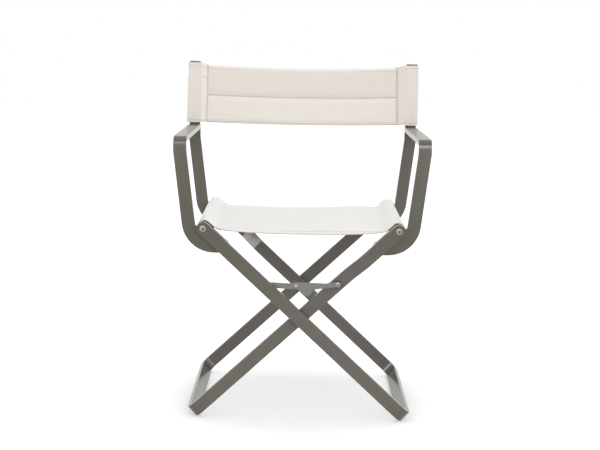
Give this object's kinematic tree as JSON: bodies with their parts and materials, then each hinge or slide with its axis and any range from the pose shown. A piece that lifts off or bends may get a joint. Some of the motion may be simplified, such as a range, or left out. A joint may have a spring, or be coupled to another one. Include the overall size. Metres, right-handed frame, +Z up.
{
  "type": "directors chair",
  "caption": "Folding directors chair of flat bar with crossed legs, flat armrests, a slung white seat, a padded cream back sling and a toggle brace that locks it open.",
  "frame": {"origin": "on the floor under the middle of the chair", "axes": "+Z up, +Y towards the back, so the sitter faces -Y; +X to the right as seen from the front"},
  "size_m": [0.5956, 0.4936, 0.827],
  "materials": {
    "frame_paint": "satin taupe paint on aluminium flat bar",
    "satin_steel": "satin steel",
    "link_steel": "dull grey pressed steel",
    "grey_nylon": "light grey nylon",
    "black_nylon": "black nylon",
    "seat_cloth": "white woven sling cloth",
    "back_cloth": "cream padded cloth with sewn channels"
  },
  "bodies": {
    "cross_pivot": {"cross_bolt_front": "satin_steel", "cross_bolt_rear": "satin_steel", "cross_spacer_front": "black_nylon", "cross_spacer_rear": "black_nylon"},
    "leg_frame_a": {"front_leg_a": "frame_paint", "rear_leg_a": "frame_paint", "runner_a": "frame_paint", "toggle_spacer_left": "black_nylon"},
    "leg_frame_b": {"front_leg_b": "frame_paint", "rear_leg_b": "frame_paint", "runner_b": "frame_paint", "toggle_bush_right": "black_nylon", "toggle_screw_right": "satin_steel"},
    "side_left": {"arm_bar_left": "frame_paint", "rear_upright_left": "frame_paint", "back_post_left": "frame_paint", "seat_rail_left": "frame_paint", "seat_sleeve_left": "seat_cloth", "back_sleeve_left": "back_cloth", "pivot_screw_front_left": "satin_steel", "rail_plug_front_left": "satin_steel", "pivot_washer_front_left": "grey_nylon", "stop_pin_front_left": "grey_nylon", "pivot_screw_rear_left": "satin_steel", "rail_plug_rear_left": "satin_steel", "pivot_washer_rear_left": "grey_nylon", "stop_pin_rear_left": "grey_nylon", "seat_panel": "seat_cloth", "back_panel": "back_cloth"},
    "side_right": {"arm_bar_right": "frame_paint", "rear_upright_right": "frame_paint", "back_post_right": "frame_paint", "seat_rail_right": "frame_paint", "seat_sleeve_right": "seat_cloth", "back_sleeve_right": "back_cloth", "pivot_screw_front_right": "satin_steel", "rail_plug_front_right": "satin_steel", "pivot_washer_front_right": "grey_nylon", "stop_pin_front_right": "grey_nylon", "pivot_screw_rear_right": "satin_steel", "rail_plug_rear_right": "satin_steel", "pivot_washer_rear_right": "grey_nylon", "stop_pin_rear_right": "grey_nylon"},
    "link_right": {"toggle_link_right": "link_steel", "knuckle_rivet": "satin_steel"},
    "link_left": {"toggle_link_left": "link_steel", "toggle_screw_left": "satin_steel"}
  },
  "joints": [
    {"name": "cross_turn", "type": "hinge", "parent": "cross_pivot", "child": "leg_frame_a", "pos_m": [0, 0, 0.2434], "axis": [0, 1, 0], "range_deg": [0, 35]},
    {"name": "fold", "type": "hinge", "parent": "leg_frame_a", "child": "leg_frame_b", "pos_m": [0, 0, 0.2434], "axis": [0, -1, 0], "range_deg": [0, 70], "deforming": ["seat_panel", "back_panel"]},
    {"name": "left_side_pivot", "type": "hinge", "parent": "leg_frame_a", "child": "side_left", "pos_m": [-0.226, 0, 0.453], "axis": [0, 1, 0], "range_deg": [-35, 0]},
    {"name": "right_side_pivot", "type": "hinge", "parent": "leg_frame_b", "child": "side_right", "pos_m": [0.226, 0, 0.453], "axis": [0, 1, 0], "range_deg": [0, 35]},
    {"name": "toggle_pivot", "type": "hinge", "parent": "leg_frame_b", "child": "link_right", "pos_m": [0.08799, 0, 0.325], "axis": [0, 1, 0], "range_deg": [0, 89.5]},
    {"name": "toggle_knuckle", "type": "hinge", "parent": "link_right", "child": "link_left", "pos_m": [-0.0101, 0, 0.3212], "axis": [0, 1, 0], "range_deg": [-154.8, 0]}
  ],
  "couplings": [
    {"joint": "cross_turn", "follows": "fold", "ratio": 0.5},
    {"joint": "left_side_pivot", "follows": "fold", "ratio": -0.5},
    {"joint": "right_side_pivot", "follows": "fold", "ratio": 0.5},
    {"joint": "toggle_pivot", "follows": "fold", "ratio": 1.2745},
    {"joint": "toggle_knuckle", "follows": "fold", "ratio": -2.2043}
  ]
}
